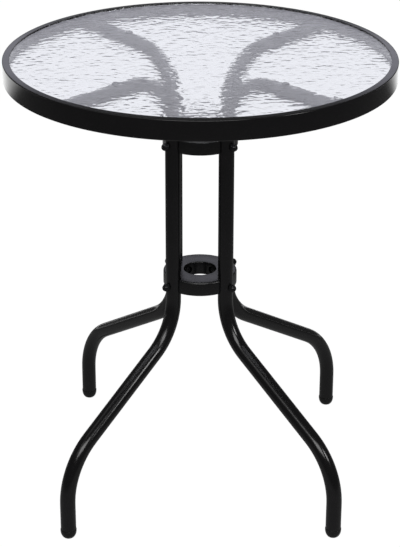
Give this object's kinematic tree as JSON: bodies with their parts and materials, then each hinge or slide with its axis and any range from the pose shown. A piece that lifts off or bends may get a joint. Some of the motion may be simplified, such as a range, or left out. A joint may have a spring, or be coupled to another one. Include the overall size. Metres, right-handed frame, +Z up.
{
  "type": "patio side table",
  "caption": "Small round patio table: rippled glass in a flat steel rim, on bent tube legs bolted to round hubs, the lower one with a hole for an umbrella pole.",
  "frame": {"origin": "on the ground, under the middle of the table top", "axes": "+Z up; -Y towards the side that the picture shows nearest; +X to the right seen from that side"},
  "size_m": [0.6, 0.6, 0.71],
  "materials": {
    "powder_coated_steel": "smooth near-black powder coat, semi-gloss",
    "rippled_glass": "clear tempered glass, wavy ripple cast into its underside, smooth on top",
    "moulded_plastic": "black moulded plastic, satin",
    "pad_rubber": "black rubber, matte",
    "blacked_steel": "black plated steel, glossy"
  },
  "bodies": {
    "root": {"rim_band": "powder_coated_steel", "glass_top": "rippled_glass", "lower_hub": "moulded_plastic", "upper_hub": "moulded_plastic", "lower_hub_bolt_front_left": "blacked_steel", "lower_hub_washer_front_left": "blacked_steel", "lower_hub_cap_nut_front_left": "blacked_steel", "upper_hub_bolt_front_left": "blacked_steel", "upper_hub_washer_front_left": "blacked_steel", "upper_hub_cap_nut_front_left": "blacked_steel", "tube_front_left": "powder_coated_steel", "rim_bracket_front_left": "powder_coated_steel", "arm_plug_front_left": "moulded_plastic", "glass_pad_front_left": "pad_rubber", "bracket_bolt_front_left": "blacked_steel", "bracket_nut_front_left": "blacked_steel", "foot_cap_front_left": "moulded_plastic", "lower_hub_bolt_front_right": "blacked_steel", "lower_hub_washer_front_right": "blacked_steel", "lower_hub_cap_nut_front_right": "blacked_steel", "upper_hub_bolt_front_right": "blacked_steel", "upper_hub_washer_front_right": "blacked_steel", "upper_hub_cap_nut_front_right": "blacked_steel", "tube_front_right": "powder_coated_steel", "rim_bracket_front_right": "powder_coated_steel", "arm_plug_front_right": "moulded_plastic", "glass_pad_front_right": "pad_rubber", "bracket_bolt_front_right": "blacked_steel", "bracket_nut_front_right": "blacked_steel", "foot_cap_front_right": "moulded_plastic", "lower_hub_bolt_rear_right": "blacked_steel", "lower_hub_washer_rear_right": "blacked_steel", "lower_hub_cap_nut_rear_right": "blacked_steel", "upper_hub_bolt_rear_right": "blacked_steel", "upper_hub_washer_rear_right": "blacked_steel", "upper_hub_cap_nut_rear_right": "blacked_steel", "tube_rear_right": "powder_coated_steel", "rim_bracket_rear_right": "powder_coated_steel", "arm_plug_rear_right": "moulded_plastic", "glass_pad_rear_right": "pad_rubber", "bracket_bolt_rear_right": "blacked_steel", "bracket_nut_rear_right": "blacked_steel", "foot_cap_rear_right": "moulded_plastic", "lower_hub_bolt_rear_left": "blacked_steel", "lower_hub_washer_rear_left": "blacked_steel", "lower_hub_cap_nut_rear_left": "blacked_steel", "upper_hub_bolt_rear_left": "blacked_steel", "upper_hub_washer_rear_left": "blacked_steel", "upper_hub_cap_nut_rear_left": "blacked_steel", "tube_rear_left": "powder_coated_steel", "rim_bracket_rear_left": "powder_coated_steel", "arm_plug_rear_left": "moulded_plastic", "glass_pad_rear_left": "pad_rubber", "bracket_bolt_rear_left": "blacked_steel", "bracket_nut_rear_left": "blacked_steel", "foot_cap_rear_left": "moulded_plastic"}
  },
  "joints": []
}
